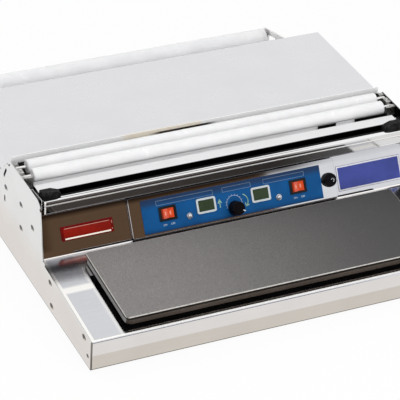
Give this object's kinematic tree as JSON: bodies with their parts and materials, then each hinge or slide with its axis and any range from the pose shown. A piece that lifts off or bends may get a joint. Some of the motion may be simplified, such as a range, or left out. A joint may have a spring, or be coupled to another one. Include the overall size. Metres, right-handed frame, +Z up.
{
  "type": "film wrapping machine",
  "caption": "Low steel table-top hand wrapper with a hot plate, a cutting slot behind a steep control panel, film rollers, a top shelf and a rear cradle for the film roll.",
  "frame": {"origin": "on the table under the middle of the machine's overall box", "axes": "+X to the right along the rollers, +Y to the back, +Z up; the front faces -Y"},
  "size_m": [0.59, 0.5996, 0.156],
  "materials": {
    "polished_steel": "polished",
    "dull_steel": "dull",
    "chrome": "bright",
    "hot_plate_coating": "non-stick coating",
    "rod_coating": "matte non-stick coating",
    "black_paint": "matte",
    "bracket_steel": "dull",
    "white_plastic": "satin",
    "shelf_steel": "satin",
    "rubber": "matte",
    "black_plastic": "gloss",
    "overlay_blue": "satin",
    "rocker_red": "gloss",
    "window_green": "gloss",
    "fuse_brass": "plain",
    "insulation": "matte"
  },
  "bodies": {
    "body": {"bottom_plate": "dull_steel", "cable_gland": "black_plastic", "control_box": "polished_steel", "cutting_rod": "rod_coating", "deck_panel": "polished_steel", "end_plate_left": "dull_steel", "end_plate_right": "dull_steel", "film_arm_left": "chrome", "film_arm_right": "chrome", "film_plate": "polished_steel", "foot_front_left": "rubber", "foot_front_right": "rubber", "foot_rear_left": "rubber", "foot_rear_right": "rubber", "fuse_holder": "black_plastic", "heater_insulation": "insulation", "heater_pan": "dull_steel", "hot_plate": "hot_plate_coating", "overlay": "overlay_blue", "partition": "dull_steel", "pilot_lamp_left": "chrome", "pilot_lamp_right": "chrome", "rail": "chrome", "rear_wall": "polished_steel", "rod_block_left": "black_paint", "rod_block_right": "black_paint", "roller_bracket_left": "bracket_steel", "roller_bracket_right": "bracket_steel", "shelf": "shelf_steel", "side_plate_left": "polished_steel", "side_plate_right": "polished_steel", "switch_housing_left": "black_plastic", "switch_housing_right": "black_plastic", "thermostat": "dull_steel", "well_tray": "black_paint", "window_frame_left": "white_plastic", "window_frame_right": "white_plastic", "window_lens_left": "window_green", "window_lens_right": "window_green"},
    "roller_front": {"roller_front": "white_plastic", "roller_axle_front": "chrome"},
    "roller_rear": {"roller_rear": "white_plastic", "roller_axle_rear": "chrome"},
    "film_tube_front": {"film_tube_front": "white_plastic", "tube_axle_front": "dull_steel"},
    "film_tube_rear": {"film_tube_rear": "white_plastic", "tube_axle_rear": "dull_steel"},
    "rocker_left": {"rocker_left": "rocker_red"},
    "rocker_right": {"rocker_right": "rocker_red"},
    "knob": {"knob": "black_plastic"},
    "fuse_carrier": {"fuse_carrier": "fuse_brass"},
    "fuse_cap": {"fuse_cap": "black_plastic"}
  },
  "joints": [
    {"name": "roller_front_turn", "type": "hinge", "parent": "body", "child": "roller_front", "pos_m": [0, -0.03154, 0.14431], "axis": [1, 0, 0], "continuous": true},
    {"name": "roller_rear_turn", "type": "hinge", "parent": "body", "child": "roller_rear", "pos_m": [0, -0.00954, 0.14581], "axis": [1, 0, 0], "continuous": true},
    {"name": "film_tube_front_turn", "type": "hinge", "parent": "body", "child": "film_tube_front", "pos_m": [0, 0.24526, 0.10401], "axis": [1, 0, 0], "continuous": true},
    {"name": "film_tube_rear_turn", "type": "hinge", "parent": "body", "child": "film_tube_rear", "pos_m": [0, 0.28525, 0.10401], "axis": [1, 0, 0], "continuous": true},
    {"name": "rocker_left_tilt", "type": "hinge", "parent": "body", "child": "rocker_left", "pos_m": [-0.102, -0.10721, 0.09017], "axis": [0, -0.4985, -0.8669], "range_deg": [0, 18]},
    {"name": "rocker_right_tilt", "type": "hinge", "parent": "body", "child": "rocker_right", "pos_m": [0.102, -0.10721, 0.09017], "axis": [0, -0.4985, -0.8669], "range_deg": [0, 18]},
    {"name": "knob_turn", "type": "hinge", "parent": "body", "child": "knob", "pos_m": [0.0004, -0.11578, 0.08068], "axis": [0, -0.8669, 0.4985], "range_deg": [-45, 225]},
    {"name": "fuse_carrier_slide", "type": "slide", "parent": "body", "child": "fuse_carrier", "axis": [0, -0.8669, 0.4985], "range_m": [0, 0.0031]},
    {"name": "fuse_cap_turn", "type": "hinge", "parent": "fuse_carrier", "child": "fuse_cap", "pos_m": [0.1525, -0.11013, 0.0915], "axis": [0, -0.8669, 0.4985], "range_deg": [0, 720]}
  ],
  "couplings": [
    {"joint": "fuse_carrier_slide", "follows": "fuse_cap_turn", "m_per_rad": 0.000239}
  ]
}
